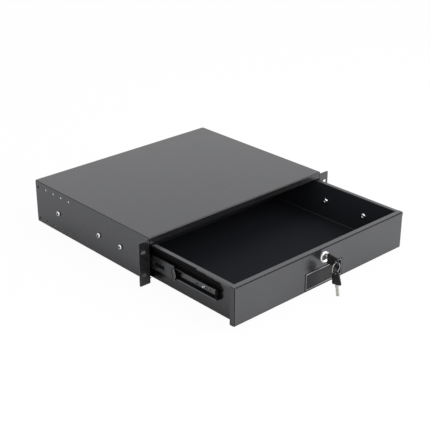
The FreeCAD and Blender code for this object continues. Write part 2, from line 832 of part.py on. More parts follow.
def build():
    add("top_cover", top_cover())
    right_panel = side_panel()
    add("left_side_panel", mirrored(right_panel))
    add("right_side_panel", right_panel)
    add("rear_brace", rear_brace())
    add("rear_corner_screws", corner_screws((side_sheet, cover_sheet)))
    add_pair("outer_rail", outer_rail())
    add_pair("rail_stop", outer_rail_bumper())
    add_pair("slide_screws", slide_screws())
    add_pair("middle_rail", middle_rail())
    add_pair("middle_rail_bumper", middle_rail_bumper())
    add_pair("outer_ball_cage", outer_cage())
    add_pair("outer_balls", balls(outer_ball_offset, outer_ball_height, cage_closed - opening / 4))
    add_pair("inner_ball_cage", inner_cage())
    add_pair("inner_balls", balls(inner_ball_offset, inner_ball_height, cage_closed - opening * 3 / 4))
    add_pair("inner_rail", inner_rail())
    add_pair("inner_rail_bumper", inner_rail_bumper())
    add_pair("drawer_screws", drawer_screws())
    add("tray", tray())
    add("tray_rear", tray_rear())
    add("front_panel", front_panel())
    add("pull_cup", pull_cup())
    add("lock_barrel", lock_barrel())
    add("lock_nut", lock_nut())
    add("lock_plug", lock_plug())
    add("lock_cam", lock_cam())
    add("cam_screw", cam_screw())
    blade, bow = key_in_lock()
    add("key_blade", blade)
    add("key_bow", bow)
    add("key_ring", key_ring())
    spare_blade, spare_bow = spare_key()
    add("spare_key_blade", spare_blade)
    add("spare_key_bow", spare_bow)


def export():
    os.makedirs("parts", exist_ok=True)
    for name, shape in parts.items():
        solids = shape.Solids
        sound = shape.isValid() and all(solid.Volume > 0 for solid in solids)
        print(name, len(solids), "solids", round(shape.Volume, 1), "mm3", "" if sound else "NOT SOUND")
        shape.exportStep("parts/" + name + ".step")


build()
export()
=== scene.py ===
import bpy
import bmesh
import json
import math
from mathutils import Matrix, Vector

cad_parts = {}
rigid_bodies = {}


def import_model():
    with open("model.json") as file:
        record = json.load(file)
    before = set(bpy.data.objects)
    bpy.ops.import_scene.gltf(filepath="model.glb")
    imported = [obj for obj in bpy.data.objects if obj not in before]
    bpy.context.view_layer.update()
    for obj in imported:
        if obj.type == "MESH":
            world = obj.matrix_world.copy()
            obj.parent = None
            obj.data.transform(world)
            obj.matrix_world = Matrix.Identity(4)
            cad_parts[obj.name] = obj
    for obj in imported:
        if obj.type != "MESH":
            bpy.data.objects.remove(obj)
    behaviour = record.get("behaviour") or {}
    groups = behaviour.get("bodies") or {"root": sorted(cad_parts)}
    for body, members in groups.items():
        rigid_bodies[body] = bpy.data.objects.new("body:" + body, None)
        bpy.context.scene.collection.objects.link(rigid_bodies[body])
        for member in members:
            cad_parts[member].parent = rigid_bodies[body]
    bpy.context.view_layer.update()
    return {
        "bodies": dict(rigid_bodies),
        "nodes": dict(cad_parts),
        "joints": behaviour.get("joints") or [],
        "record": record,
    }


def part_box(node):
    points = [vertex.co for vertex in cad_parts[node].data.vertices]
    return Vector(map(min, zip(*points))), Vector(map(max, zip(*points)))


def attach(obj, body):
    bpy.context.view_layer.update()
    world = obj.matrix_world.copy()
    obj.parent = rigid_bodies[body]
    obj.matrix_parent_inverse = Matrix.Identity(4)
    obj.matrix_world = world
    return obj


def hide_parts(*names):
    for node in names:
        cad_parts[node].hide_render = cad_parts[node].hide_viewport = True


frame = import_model()
nodes = frame["nodes"]
scene = bpy.context.scene
mm = 0.001
# in millimetres, the least length that counts and how near a cut takes a vertex in
hair, cutReach = 0.001, 0.0001
# the sides and the sign of X on each
sides = {"left": -1, "right": 1}


# camera at the photograph's place, in metres in the part's own frame
photoCamera = {
    "place": (-1.205631, -1.239112, 0.825876),
    "right": (0.735846, -0.677148, 0.000686),
    "up": (0.28552, 0.311188, 0.906444),
    "back": (-0.614011, -0.666807, 0.422326),
    "focalPixels": 1025.621,
    "imagePixels": 430,
}


def makeCamera(spec):
    data = bpy.data.cameras.new("photoCamera")
    data.sensor_width = 36
    data.lens = data.sensor_width * spec["focalPixels"] / spec["imagePixels"]
    data.clip_start = 0.05
    data.clip_end = 30
    camera = bpy.data.objects.new("photoCamera", data)
    scene.collection.objects.link(camera)
    axes = Matrix((spec["right"], spec["up"], spec["back"])).transposed().to_4x4()
    camera.matrix_world = Matrix.Translation(spec["place"]) @ axes
    scene.camera = camera


makeCamera(photoCamera)
print("camera placed")


# studio: pale floor, white surroundings and soft lamps
studio = {
    "floorSize": 12.0,
    "floorDrop": 0.0515,
    "floorColour": (0.82, 0.82, 0.82, 1),
    "floorGlow": 0.965,
    "floorGloss": 0.08,
    "skyColour": (0.66, 0.66, 0.66, 1),
    "lamps": [
        {"name": "topLamp", "place": (0.3, 0.2, 2.2), "aim": (0, 0, 0), "size": 1.8, "watts": 9},
        {"name": "frontLamp", "place": (0.9, -2.1, 1.1), "aim": (0, -0.1, 0), "size": 3.0, "watts": 82},
    ],
}


def linkNode(tree, kind, **inputs):
    node = tree.nodes.new(kind)
    for name, value in inputs.items():
        socket = node.inputs[int(name[1:]) if name[0] == "_" else name]
        if isinstance(value, bpy.types.NodeSocket):
            tree.links.new(value, socket)
        else:
            socket.default_value = value
    return node


def mathNode(tree, operation, first, second=0.0):
    node = linkNode(tree, "ShaderNodeMath", _0=first, _1=second)
    node.operation = operation
    return node.outputs[0]


def makeStudio(spec):
    world = bpy.data.worlds.new("studioWorld")
    scene.world = world
    world.use_nodes = True
    tree = world.node_tree
    tree.nodes.clear()
    path = tree.nodes.new("ShaderNodeLightPath")
    seen = mathNode(tree, "MAXIMUM", path.outputs["Is Camera Ray"], path.outputs["Is Glossy Ray"])
    seen = mathNode(tree, "MAXIMUM", seen, path.outputs["Is Transmission Ray"])
    plain = linkNode(tree, "ShaderNodeBackground", Color=spec["skyColour"], Strength=1.0)
    white = linkNode(tree, "ShaderNodeBackground", Color=(1, 1, 1, 1), Strength=1.0)
    mixed = linkNode(tree, "ShaderNodeMixShader", Fac=seen, _1=plain.outputs[0], _2=white.outputs[0])
    linkNode(tree, "ShaderNodeOutputWorld", Surface=mixed.outputs[0])

    mesh = bmesh.new()
    bmesh.ops.create_grid(mesh, x_segments=1, y_segments=1, size=spec["floorSize"] / 2)
    bmesh.ops.translate(mesh, verts=mesh.verts, vec=(0, 0, -spec["floorDrop"]))
    floor = newObject("floor", mesh)
    material = bpy.data.materials.new("floorPaper")
    material.use_nodes = True
    tree = material.node_tree
    tree.nodes.clear()
    path = tree.nodes.new("ShaderNodeLightPath")
    glow = linkNode(tree, "ShaderNodeEmission", Color=(1, 1, 1, 1), Strength=1.0)
    paper = linkNode(tree, "ShaderNodeBsdfDiffuse", Color=spec["floorColour"])
    seen = mathNode(tree, "MULTIPLY", path.outputs["Is Camera Ray"], spec["floorGlow"])
    mirrored = mathNode(tree, "MULTIPLY", path.outputs["Is Glossy Ray"], spec["floorGloss"])
    share = mathNode(tree, "MAXIMUM", seen, mirrored)
    mixed = linkNode(tree, "ShaderNodeMixShader", Fac=share, _1=paper.outputs[0], _2=glow.outputs[0])
    linkNode(tree, "ShaderNodeOutputMaterial", Surface=mixed.outputs[0])
    floor.data.materials.append(material)
    for lamp in spec["lamps"]:
        data = bpy.data.lights.new(lamp["name"], "AREA")
        data.shape = "DISK"
        data.size = lamp["size"]
        data.energy = lamp["watts"]
        light = bpy.data.objects.new(lamp["name"], data)
        scene.collection.objects.link(light)
        aim = Vector(lamp["aim"]) - Vector(lamp["place"])
        light.matrix_world = Matrix.Translation(lamp["place"]) @ aim.to_track_quat("-Z", "Y").to_matrix().to_4x4()
    scene.view_settings.view_transform = "Standard"


def newObject(name, mesh, smooth=False):
    data = bpy.data.meshes.new(name)
    mesh.to_mesh(data)
    mesh.free()
    for face in data.polygons:
        face.use_smooth = smooth
    piece = bpy.data.objects.new(name, data)
    scene.collection.objects.link(piece)
    return piece


makeStudio(studio)
print("studio made")


# satin black coat on the sheet: a fine skin over broad soft reflections
powderCoat = {
    "colour": (0.092, 0.093, 0.098, 1),
    "worn": (0.106, 0.107, 0.112, 1),
    "metallic": 0.93,
    "roughness": 0.25,
    "roughnessSpread": 0.05,
    "ior": 1.5,
    "grain": 1600.0,
    "grainDepth": 0.00002,
    "cloud": 9.0,
}


def startMaterial(name):
    material = bpy.data.materials.new(name)
    material.use_nodes = True
    tree = material.node_tree
    tree.nodes.clear()
    place = tree.nodes.new("ShaderNodeTexCoord").outputs["Object"]
    shader = tree.nodes.new("ShaderNodeBsdfPrincipled")
    linkNode(tree, "ShaderNodeOutputMaterial", Surface=shader.outputs[0])
    return material, tree, place, shader


def noiseNode(tree, place, scale, detail=3.0, roughness=0.55):
    return linkNode(tree, "ShaderNodeTexNoise", Vector=place, Scale=scale, Detail=detail,
                    Roughness=roughness).outputs["Fac"]


def rangeNode(tree, value, low, high, least=0.3, most=0.7):
    return linkNode(tree, "ShaderNodeMapRange", _0=value, _1=least, _2=most, _3=low, _4=high).outputs[0]


def colourMix(tree, share, first, second):
    node = tree.nodes.new("ShaderNodeMix")
    node.data_type = "RGBA"
    for socket, value in ((node.inputs[0], share), (node.inputs[6], first), (node.inputs[7], second)):
        if isinstance(value, bpy.types.NodeSocket):
            tree.links.new(value, socket)
        else:
            socket.default_value = value
    return node.outputs[2]


def bumpNode(tree, height, distance, strength=1.0):
    return linkNode(tree, "ShaderNodeBump", Height=height, Distance=distance, Strength=strength).outputs[0]


def dressShader(tree, shader, spec, broad, fine, low):
    # colour and roughness follow the broad pattern, and the skin follows the fine one
    tree.links.new(colourMix(tree, broad, spec["colour"], spec["worn"]), shader.inputs["Base Color"])
    tree.links.new(rangeNode(tree, broad, low, spec["roughness"] + spec["roughnessSpread"]),
                   shader.inputs["Roughness"])
    tree.links.new(bumpNode(tree, fine, spec["grainDepth"]), shader.inputs["Normal"])


def makePaint(name, spec):
    material, tree, place, shader = startMaterial(name)
    cloud = noiseNode(tree, place, spec["cloud"])
    skin = noiseNode(tree, place, spec["grain"], detail=2.0)
    dressShader(tree, shader, spec, cloud, skin, spec["roughness"] - spec["roughnessSpread"])
    shader.inputs["IOR"].default_value = spec["ior"]
    shader.inputs["Metallic"].default_value = spec["metallic"]
    return material


def boxMask(tree, apart, box):
    # one inside the box and nought outside; the box is in millimetres, and its X is the distance from the middle
    mask = None
    for axis, (low, high) in enumerate(box):
        value = mathNode(tree, "ABSOLUTE", apart[axis]) if axis == 0 else apart[axis]
        for operation, edge in (("GREATER_THAN", low), ("LESS_THAN", high)):
            test = mathNode(tree, operation, value, edge * mm)
            mask = test if mask is None else mathNode(tree, "MULTIPLY", mask, test)
    return mask


def makeZonedPaint(name, spec, zones):
    # paint that turns to another finish within boxes, as the painted shade inside the tray or along a fold
    material = makePaint(name, spec)
    tree = material.node_tree
    found = {node.type: node for node in tree.nodes}
    apart = linkNode(tree, "ShaderNodeSeparateXYZ", _0=found["TEX_COORD"].outputs["Object"]).outputs
    surface = found["BSDF_PRINCIPLED"].outputs[0]
    for finish, boxes in zones:
        mask = boxMask(tree, apart, boxes[0])
        for box in boxes[1:]:
            mask = mathNode(tree, "MAXIMUM", mask, boxMask(tree, apart, box))
        other = linkNode(tree, "ShaderNodeBsdfPrincipled", Roughness=finish["roughness"], IOR=finish["ior"])
        other.inputs["Base Color"].default_value = finish["colour"]
        other.inputs["Metallic"].default_value = finish["metallic"]
        surface = linkNode(tree, "ShaderNodeMixShader", Fac=mask, _1=surface, _2=other.outputs[0]).outputs[0]
    tree.links.new(surface, found["OUTPUT_MATERIAL"].inputs["Surface"])
    return material


def makeMetal(name, spec):
    material, tree, place, shader = startMaterial(name)
    stretched = linkNode(tree, "ShaderNodeMapping", Vector=place, Scale=spec["stretch"]).outputs[0]
    lines = noiseNode(tree, stretched, spec["grain"])
    dressShader(tree, shader, spec, lines, lines, spec["roughness"])
    shader.inputs["Metallic"].default_value = 1.0
    return material


def litOrShadedCopy(spec, factor):
    # the same coat, a little lighter or darker, to paint light or shade on one part
    tones = {key: (*(factor * level for level in spec[key][:3]), 1) for key in ("colour", "worn")}
    return dict(spec, **tones)


def makePlastic(name, spec):
    material, tree, place, shader = startMaterial(name)
    cloud = noiseNode(tree, place, spec["cloud"])
    skin = noiseNode(tree, place, spec["grain"], detail=2.0)
    dressShader(tree, shader, spec, cloud, skin, spec["roughness"])
    shader.inputs["IOR"].default_value = spec["ior"]
    return material


# coats of the sheet: the slides have their own tone of it, and the cup's frame a lighter one that is a painted
# highlight
slideCoat = dict(powderCoat, colour=(0.073, 0.074, 0.077, 1), worn=(0.09, 0.091, 0.094, 1), roughness=0.3)
litCupFrame = dict(powderCoat, colour=(0.17, 0.17, 0.175, 1), worn=(0.2, 0.2, 0.206, 1), roughness=0.3)

# finishes that a coat changes to within its zones; all but the bare steel are painted shade or a painted highlight
# painted shade: the inside of the tray is coated near black, as the shade that falls in it
insideShade = {"colour": (0.008, 0.0085, 0.0112, 1), "roughness": 0.7, "ior": 1.2, "metallic": 0.0}
# painted shade on the tray's inner walls, a little lighter than on its floor
insideWallShade = dict(insideShade, colour=(0.021, 0.022, 0.027, 1))
# painted highlight: a lighter line along the bend where the tray's floor meets its walls
bendHighlight = dict(insideShade, colour=(0.055, 0.056, 0.06, 1))
shade = {"colour": (0.006, 0.0062, 0.007, 1), "roughness": 0.6, "ior": 1.15, "metallic": 0.0}
# painted shade: near-black lines along the folds of the sheet
foldShade = {"colour": (0.007, 0.007, 0.008, 1), "roughness": 0.5, "ior": 1.2, "metallic": 0.0}
# painted shade: a dark line along the cover's front lip
lipShade = {"colour": (0.04, 0.04, 0.042, 1), "roughness": 0.4, "ior": 1.4, "metallic": 0.6}
# painted shade: a darker copy of the coat on the tray's outer walls and on the panel's side returns
shadedWallCoat = {"colour": (0.072, 0.0725, 0.076, 1), "roughness": 0.25, "ior": 1.5, "metallic": 0.93}
bareSteel = {"colour": (0.8, 0.81, 0.82, 1), "roughness": 0.35, "ior": 1.5, "metallic": 1.0}

# boxes of the zones: low and high ends along X, Y and Z; -1 as the low X takes in the middle
anyY, anyZ = (-400, 400), (-100, 100)
trayWallX, rimLipX, trayInsideY = (204.6, 206), (213.9, 216), (-206, 101)
sideFaceX, sideSheetX, supportHolesY = (217.4, 220), (217.0, 218.3), (238, 319)
noseY, topFoldZ = (-210, -208.1), (44, 45.3)
# painted light on the tray: a darker coat on the outer wall, near black inside with lighter inner walls, a painted
# highlight along the bend at the floor's edge, and painted shade over the slide
trayZones = [
    (shadedWallCoat, [(trayWallX, anyY, (-45, 29))]),
    (insideShade, [((-1, 204.3), (-207.2, 120), (-38.9, 29.6)), ((203, 206.3), (-209, 120), (29, 33))]),
    (insideWallShade, [((203.4, 204.3), trayInsideY, (-38, 29.3))]),
    (bendHighlight, [((203, 204.3), trayInsideY, (-39.2, -37.9))]),
    # the shade over the slide ends in steps at the front, on the rim's lip and on the wall below it
    (shade, [(rimLipX, (-118, 400), (20, 33)), (rimLipX, (-142, -118), (20, 29.6)),
             (rimLipX, (-162, -142), (20, 28.7)), (trayWallX, (-170, 110), (-10.4, 16)),
             (trayWallX, (-167, 110), (16, 24)), (trayWallX, (-128, 110), (24, 29)),
             (trayWallX, (-156, -128), (24, 27))]),
]
# painted shade on the panel: a darker coat on the side returns, and near-black lines along the top fold, the side
# edges and the bottom fold
panelZones = [
    (shadedWallCoat, [((215.3, 216), (-207.5, -180), anyZ)]),
    (foldShade, [((-1, 213), noseY, (29.1, 30.9)), ((213.6, 216), noseY, anyZ),
                ((-1, 216), (-210, -208), (-41, -39.1))]),
]
# painted shade on the cover: a dark line along the front lip and near-black lines along the top folds
coverZones = [
    (lipShade, [((-1, 217), (-4, 1.6), (43.5, 47))]),
    (foldShade, [(sideFaceX, anyY, topFoldZ)]),
]
# on the side panels bare steel shows at the support holes, and painted shade lines run along the bottom flange, the
# top fold and the rear edge
sideZones = [
    (bareSteel, [(sideSheetX, supportHolesY, (30, 36)), (sideSheetX, supportHolesY, (-36, -30))]),
    (foldShade, [((217, 230), (3, 400), (-44, -42.2)), (sideFaceX, (3, 400), topFoldZ),
                (sideFaceX, (347.9, 400), anyZ)]),
]
# painted shade along the lower part of the inner rail
innerRailZones = [(shade, [((205, 211.8), anyY, (-14, -7))])]

# finishes of metal, plastic and rubber
chromePlate = {"colour": (0.83, 0.84, 0.85, 1), "worn": (0.72, 0.73, 0.75, 1), "roughness": 0.06,
               "roughnessSpread": 0.08, "grain": 300.0, "stretch": (1, 1, 1), "grainDepth": 0.000004}
nickelSteel = {"colour": (0.66, 0.64, 0.6, 1), "worn": (0.5, 0.48, 0.45, 1), "roughness": 0.2,
               "roughnessSpread": 0.14, "grain": 700.0, "stretch": (1, 1, 0.08), "grainDepth": 0.00001}
zincSteel = {"colour": (0.56, 0.58, 0.6, 1), "worn": (0.42, 0.44, 0.47, 1), "roughness": 0.28,
             "roughnessSpread": 0.15, "grain": 260.0, "stretch": (1, 1, 1), "grainDepth": 0.00001}
blackPlastic = {"colour": (0.014, 0.014, 0.015, 1), "worn": (0.021, 0.021, 0.022, 1), "roughness": 0.3,
                "roughnessSpread": 0.12, "grain": 1400.0, "cloud": 60.0, "grainDepth": 0.00003, "ior": 1.27}
softRubber = {"colour": (0.01, 0.01, 0.01, 1), "worn": (0.016, 0.016, 0.016, 1), "roughness": 0.5,
              "roughnessSpread": 0.15, "grain": 900.0, "cloud": 80.0, "grainDepth": 0.00004, "ior": 1.35}
matteBlack = dict(softRubber, colour=(0.003, 0.003, 0.0035, 1), worn=(0.005, 0.005, 0.006, 1), roughness=0.7,
                  ior=1.15)
cupPlastic = dict(blackPlastic, colour=(0.008, 0.0085, 0.01, 1), worn=(0.01, 0.0105, 0.012, 1), roughness=0.42,
                  ior=1.26)
plugBrass = {"colour": (0.2, 0.19, 0.155, 1), "worn": (0.12, 0.115, 0.095, 1), "roughness": 0.3,
             "roughnessSpread": 0.15, "grain": 900.0, "stretch": (1, 1, 1), "grainDepth": 0.00001}
ringSteel = {"colour": (0.62, 0.61, 0.58, 1), "worn": (0.36, 0.34, 0.3, 1), "roughness": 0.16,
             "roughnessSpread": 0.16, "grain": 500.0, "stretch": (1, 1, 1), "grainDepth": 0.000008}

finishes = {
    "black_paint": makePaint("powderCoat", powderCoat),
    "slide_steel": makePaint("slideCoat", slideCoat),
    "black_screw": makePaint("screwBlack", slideCoat),
    "black_plastic": makePlastic("mouldedPlastic", blackPlastic),
    "black_rubber": makePlastic("softRubber", softRubber),
    "chrome": makeMetal("chromePlate", chromePlate),
    "nickel_steel": makeMetal("nickelSteel", nickelSteel),
    "zinc_steel": makeMetal("zincSteel", zincSteel),
    "ball_steel": makeMetal("ballSteel", chromePlate),
    "matte_black": makePlastic("matteBlack", matteBlack),
    "cup_plastic": makePlastic("cupPlastic", cupPlastic),
    "cup_frame_highlight": makePaint("litCupFrame", litCupFrame),
    "plug_brass": makeMetal("plugBrass", plugBrass),
    "ring_steel": makeMetal("ringSteel", ringSteel),
}
# coats with zones, by the start or the end of the node's name; the cover's coat is made darker as painted shade, and
# the panel's and the inner rail's lighter as painted light
coverShadeFactor, panelLightFactor, innerRailLightFactor = 0.94, 1.1, 1.35
zoned = {
    "top_cover": makeZonedPaint("coverCoat", litOrShadedCopy(powderCoat, coverShadeFactor), coverZones),
    "tray": makeZonedPaint("trayCoat", powderCoat, trayZones),
    "front_panel": makeZonedPaint("panelCoat", litOrShadedCopy(powderCoat, panelLightFactor), panelZones),
    "side_panel": makeZonedPaint("sideCoat", powderCoat, sideZones),
    "inner_rail": makeZonedPaint("innerRailCoat", litOrShadedCopy(slideCoat, innerRailLightFactor), innerRailZones),
}
for part in frame["record"]["subparts"]:
    node = nodes[part["node"]]
    finish = finishes[part["material_slot"]]
    for name, paint in zoned.items():
        if part["node"].endswith(name) or part["node"].startswith(name):
            finish = paint
    # painted shade: the ball cages are coated matte black so that the slots in the rails read as shade
    if part["node"].endswith("_ball_cage"):
        finish = finishes["matte_black"]
    for index in range(len(node.material_slots)):
        node.material_slots[index].material = finish
print("materials made")


# tools shared by the modelled pieces; every length below is in millimetres
def addSolid(target, source, matrix):
    data = bpy.data.meshes.new("copyMesh")
    source.to_mesh(data)
    data.transform(matrix)
    target.from_mesh(data)
    bpy.data.meshes.remove(data)


def moveMesh(mesh, matrix):
    bmesh.ops.transform(mesh, matrix=matrix, verts=mesh.verts)


def allOf(mesh):
    return mesh.verts[:] + mesh.edges[:] + mesh.faces[:]


def turnTo(direction, place):
    # a shape drawn about Z, its outer end up, is turned to the direction and set on the place
    return Matrix.Translation(place) @ Vector(direction).to_track_quat("Z", "Y").to_matrix().to_4x4()


def spinProfile(profile, steps):
    # profile holds (radius, height) pairs; a pair on the axis closes an end
    mesh = bmesh.new()
    verts = [mesh.verts.new((radius, 0, height)) for radius, height in profile]
    edges = [mesh.edges.new(pair) for pair in zip(verts, verts[1:])]
    bmesh.ops.spin(mesh, geom=verts + edges, cent=(0, 0, 0), axis=(0, 0, 1), dvec=(0, 0, 0),
                   angle=math.tau, steps=steps, use_merge=True, use_duplicate=False)
    return closeMesh(mesh)


def closeMesh(mesh, reach=0.0005):
    bmesh.ops.remove_doubles(mesh, verts=mesh.verts, dist=reach)
    bmesh.ops.recalc_face_normals(mesh, faces=mesh.faces)
    return mesh


def loopOf(mesh, points, height=0.0):
    verts = [mesh.verts.new((point[0], point[1], height)) for point in points]
    return [mesh.edges.new((verts[index - 1], verts[index])) for index in range(len(verts))]


def roundedOutline(corners, steps=5):
    # corners are (x, y, radius) in order round the outline
    points = []
    count = len(corners)
    for index, (x, y, radius) in enumerate(corners):
        here = Vector((x, y))
        back = (Vector(corners[index - 1][:2]) - here).normalized()
        ahead = (Vector(corners[(index + 1) % count][:2]) - here).normalized()
        half = back.angle(ahead) / 2
        if radius <= 0:
            points.append(here)
            continue
        start = here + back * (radius / math.tan(half))
        end = here + ahead * (radius / math.tan(half))
        middle = here + (back + ahead).normalized() * (radius / math.sin(half))
        first = start - middle
        sweep = first.angle_signed(end - middle)
        for step in range(steps + 1):
            arm = first.copy()
            arm.rotate(Matrix.Rotation(-sweep * step / steps, 2))
            points.append(middle + arm)
    return points


def circlePoints(radius, steps, centre=(0, 0)):
    turns = [math.tau * index / steps for index in range(steps)]
    return [(centre[0] + radius * math.cos(turn), centre[1] + radius * math.sin(turn)) for turn in turns]


def raisePlate(mesh, faces, height):
    raised = bmesh.ops.extrude_face_region(mesh, geom=faces)
    verts = [item for item in raised["geom"] if isinstance(item, bmesh.types.BMVert)]
    bmesh.ops.translate(mesh, verts=verts, vec=(0, 0, height))
    return verts


def softenEdges(mesh, width, least=40, most=180, segments=2):
    # rounds the edges whose faces meet at a sharp enough angle
    edges = [edge for edge in mesh.edges if len(edge.link_faces) == 2
             and math.radians(least) < edge.calc_face_angle(0) < math.radians(most)]
    bmesh.ops.bevel(mesh, geom=edges, offset=width, affect="EDGES", segments=segments, profile=0.5,
                    material=-1, clamp_overlap=True)
    return mesh


def makePiece(name, mesh, body, node, slot, smoothAngle=32, finish=None):
    bmesh.ops.scale(mesh, vec=(mm, mm, mm), verts=mesh.verts)
    piece = newObject(name, mesh, smooth=True)
    piece.data.set_sharp_from_angle(angle=math.radians(smoothAngle))
    piece.data.materials.append(finishes[finish or slot])
    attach(piece, body)
    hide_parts(node)
    return piece


# screws with a cross recess cut into the crown of the head
# screws marked dark get painted shade in the cross recess and a painted shadow at the foot of the head
panScrew = {"headRadius": 4.05, "headHeight": 2.15, "crown": 0.8, "shankRadius": 1.98, "rootRadius": 1.7,
            "pitch": 0.7, "crossReach": 2.45, "crossWidth": 0.75, "crossDepth": 1.25, "flatRadius": 2.9,
            "dark": True}
tallScrew = dict(panScrew, headRadius=4.9, headHeight=3.35, crown=1.5, crossDepth=1.9, crossReach=3.0,
                 crossWidth=0.9, flatRadius=3.5)
roundScrew = dict(panScrew, headRadius=5.5, headHeight=3.8, crown=2.1, crossReach=2.6, crossWidth=0.68,
                  flatRadius=3.4, dark=False)
smallScrew = {"headRadius": 2.85, "headHeight": 1.15, "crown": 0.45, "shankRadius": 1.48, "rootRadius": 1.25,
              "pitch": 0.5, "crossReach": 1.6, "crossWidth": 0.45, "crossDepth": 0.7, "flatRadius": 1.95,
              "dark": True}
# what all the screws share: lengths in millimetres, and shares of the head's height and radius
screwForm = {"plainShank": 0.4, "tipChamfer": 0.25, "neck": 0.2, "footRound": 0.15, "side": 0.72,
             "shoulders": ((0.93, 0.3), (0.8, 0.72)), "recessTaper": 0.55, "steps": 24, "footReach": 0.9,
             "paintLow": 0.1, "paintTop": 0.05, "firstTurn": 0.7, "nextTurn": 1.9}


def crossOutline(reach, width):
    quarter = [(reach, -width), (reach, width), (width, width)]
    points = []
    for turn in range(4):
        spin = Matrix.Rotation(turn * math.pi / 2, 2)
        points += [spin @ Vector(point) for point in quarter]
    return points


def screwShape(spec, shankLength):
    # the head stands on Z = 0 and the shank hangs below it
    form = screwForm
    radius, height = spec["headRadius"], spec["headHeight"]
    crown = height - spec["crown"]
    side = crown * form["side"]
    threads = []
    count = int((shankLength - 2 * form["plainShank"]) / spec["pitch"])
    for index in range(count):
        top = -form["plainShank"] - index * spec["pitch"]
        threads += [(spec["shankRadius"], top), (spec["rootRadius"], top - spec["pitch"] / 2)]
    profile = [(0, -shankLength), (spec["rootRadius"] - form["tipChamfer"], -shankLength)]
    profile += threads[::-1]
    profile += [(spec["shankRadius"], -form["neck"]), (spec["shankRadius"], 0),
                (radius - form["footRound"], 0), (radius, form["footRound"]), (radius, side)]
    profile += [(radius * reach, crown + spec["crown"] * rise) for reach, rise in form["shoulders"]]
    profile.append((spec["flatRadius"], height))
    mesh = spinProfile(profile, form["steps"])
    rim = [edge for edge in mesh.edges if edge.is_boundary]
    cross = loopOf(mesh, crossOutline(spec["crossReach"], spec["crossWidth"]), height)
    bmesh.ops.bridge_loops(mesh, edges=rim + cross)
    floor = bmesh.ops.contextual_create(mesh, geom=cross)["faces"]
    verts = raisePlate(mesh, floor, -spec["crossDepth"])
    bmesh.ops.delete(mesh, geom=floor, context="FACES_ONLY")
    middle = Matrix.Translation((0, 0, height - spec["crossDepth"]))
    taper = form["recessTaper"]
    bmesh.ops.scale(mesh, vec=(taper, taper, 1), space=middle.inverted(), verts=verts)
    closeMesh(mesh)
    # on a dark screw the recess and the foot of the head are painted black, as painted shade in the recess and a
    # painted shadow on the foot, and the crown keeps the bright finish
    for face in mesh.faces:
        place = face.calc_center_median()
        reach = math.hypot(place.x, place.y)
        foot = reach > radius * form["footReach"] and form["paintLow"] < place.z < side
        recess = reach < spec["crossReach"] and form["paintLow"] < place.z < height - form["paintTop"]
        face.material_index = 1 if spec["dark"] and (foot or recess) else 0
    return mesh


def makeScrews(name, body, node, slot, spec, shankLength, seats):
    mesh = bmesh.new()
    screw = screwShape(spec, shankLength)
    for index, (place, direction) in enumerate(seats):
        twist = Matrix.Rotation(screwForm["firstTurn"] + screwForm["nextTurn"] * index, 4, "Z")
        addSolid(mesh, screw, turnTo(direction, place) @ twist)
    screw.free()
    piece = makePiece(name, mesh, body, node, slot)
    piece.data.materials.append(finishes["matte_black"])
    return piece


# seats of the screws: along Y from the front ends of the outer and the inner rail
screwLayout = {"wallOutside": 218.4, "trayInside": 204.0, "outerFront": 45.0, "innerFront": -164.0, "height": -1.8,
               "chassisPlaces": (37.6, 101.6, 229.6), "chassisShank": 2.7,
               "drawerPlaces": (37.0, 133.0, 229.0), "drawerShank": 5.4,
               "cornerY": 342.0, "cornerHeights": (-33.9, 32.3), "cornerShank": 2.9}


def makeSlideScrews(side, spec):
    sign = sides[side]
    outside = [((sign * spec["wallOutside"], spec["outerFront"] + y, spec["height"]), (sign, 0, 0))
               for y in spec["chassisPlaces"]]
    makeScrews(side + "SlideScrews", "chassis", side + "_slide_screws", "chrome", tallScrew,
               spec["chassisShank"], outside)
    inside = [((sign * spec["trayInside"], spec["innerFront"] + y, spec["height"]), (-sign, 0, 0))
              for y in spec["drawerPlaces"]]
    makeScrews(side + "DrawerScrews", "drawer", side + "_drawer_screws", "chrome", roundScrew,
               spec["drawerShank"], inside)


def makeCornerScrews(spec):
    corners = [((sign * spec["wallOutside"], spec["cornerY"], z), (sign, 0, 0))
               for z in spec["cornerHeights"] for sign in (-1, 1)]
    makeScrews("rearCornerScrews", "chassis", "rear_corner_screws", "black_screw", smallScrew,
               spec["cornerShank"], corners)


for side in sides:
    makeSlideScrews(side, screwLayout)
makeCornerScrews(screwLayout)
print("screws made")


# bearing balls of the slides, seven above and seven below in each cage
ballRows = {"radius": 1.5, "pitch": 14.0, "count": 7}


def makeBalls(side, ring, spec):
    # the rows' places come from the box round the node's own balls
    low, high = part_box(side + "_" + ring + "_balls")
    radius = spec["radius"]
    mesh = bmesh.new()
    start = low[1] / mm + radius
    x = (low[0] + high[0]) / 2 / mm
    middle = (low[2] + high[2]) / 2 / mm
    z = (high[2] - low[2]) / 2 / mm - radius
    for index in range(spec["count"]):
        for height in (middle - z, middle + z):
            place = Matrix.Translation((x, start + index * spec["pitch"], height))
            bmesh.ops.create_icosphere(mesh, subdivisions=2, radius=radius, matrix=place)
    return makePiece(side + ring.capitalize() + "Balls", mesh, side + "_" + ring + "_cage",
                     side + "_" + ring + "_balls", "ball_steel", smoothAngle=180)


for side in sides:
    makeBalls(side, "outer", ballRows)
    makeBalls(side, "inner", ballRows)
print("balls made")


